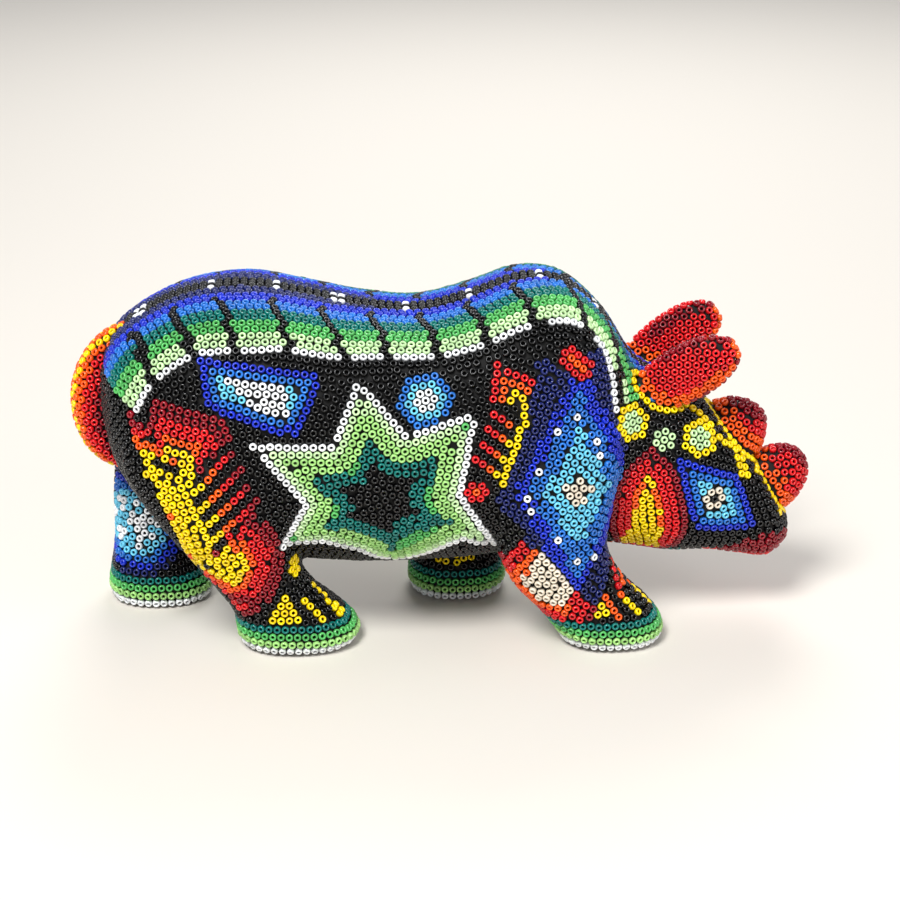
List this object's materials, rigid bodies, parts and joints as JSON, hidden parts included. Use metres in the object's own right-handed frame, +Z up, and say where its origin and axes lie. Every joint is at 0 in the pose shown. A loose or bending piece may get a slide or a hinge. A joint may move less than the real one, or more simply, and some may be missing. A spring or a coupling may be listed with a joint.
{
  "type": "beaded figure",
  "caption": "Standing rhinoceros figure, a carved and waxed wooden body covered all over in small glass beads set in bright motifs",
  "frame": {"origin": "on the floor, under the middle of the figure's length and width", "axes": "+X towards the nose, +Y to the animal's left, +Z up"},
  "size_m": [0.1863, 0.0642, 0.0902],
  "materials": {
    "wood": "carved light wood, matte",
    "peg_wood": "turned, matte",
    "wax": "dark Campeche beeswax and pine resin, satin; stands in for wax",
    "glass_blue": "opaque glass, glossy",
    "glass_white": "opaque glass, glossy",
    "glass_navy": "opaque glass, glossy",
    "glass_sky": "opaque glass, glossy",
    "glass_green": "opaque glass, glossy",
    "glass_lime": "opaque glass, glossy",
    "glass_yellow": "opaque glass, glossy",
    "glass_orange": "opaque glass, glossy",
    "glass_red": "opaque glass, glossy",
    "glass_black": "opaque glass, glossy"
  },
  "bodies": {
    "root": {"core_body": "wood", "core_ear_right": "wood", "core_ear_left": "wood", "core_horn_rear": "wood", "core_horn_front": "wood", "core_tail": "wood", "pegs_ears": "peg_wood", "pegs_horns": "peg_wood", "peg_tail": "peg_wood", "wax_body": "wax", "wax_ear_right": "wax", "wax_ear_left": "wax", "wax_horn_rear": "wax", "wax_horn_front": "wax", "wax_tail": "wax", "beads_back": "glass_blue", "beads_star_right": "glass_green", "beads_star_left": "glass_green", "beads_kite_right": "glass_white", "beads_kite_left": "glass_white", "beads_comb_right": "glass_yellow", "beads_comb_left": "glass_yellow", "beads_flank_right": "glass_black", "beads_flank_left": "glass_black", "beads_belly": "glass_black", "beads_haunch_right": "glass_orange", "beads_haunch_left": "glass_orange", "beads_shoulder_right": "glass_navy", "beads_shoulder_left": "glass_navy", "beads_leg_hind_right": "glass_black", "beads_leg_hind_left": "glass_black", "beads_leg_front_right": "glass_black", "beads_leg_front_left": "glass_black", "beads_hoof_hind_right": "glass_lime", "beads_hoof_hind_left": "glass_lime", "beads_hoof_front_right": "glass_lime", "beads_hoof_front_left": "glass_lime", "beads_head": "glass_black", "beads_cheek_right": "glass_orange", "beads_cheek_left": "glass_orange", "beads_eye_right": "glass_sky", "beads_eye_left": "glass_sky", "pupil_right": "glass_black", "pupil_left": "glass_black", "beads_lips": "glass_red", "beads_ear_right": "glass_red", "beads_ear_left": "glass_red", "beads_horn_rear": "glass_red", "beads_horn_front": "glass_red", "beads_tail": "glass_red"}
  },
  "joints": []
}
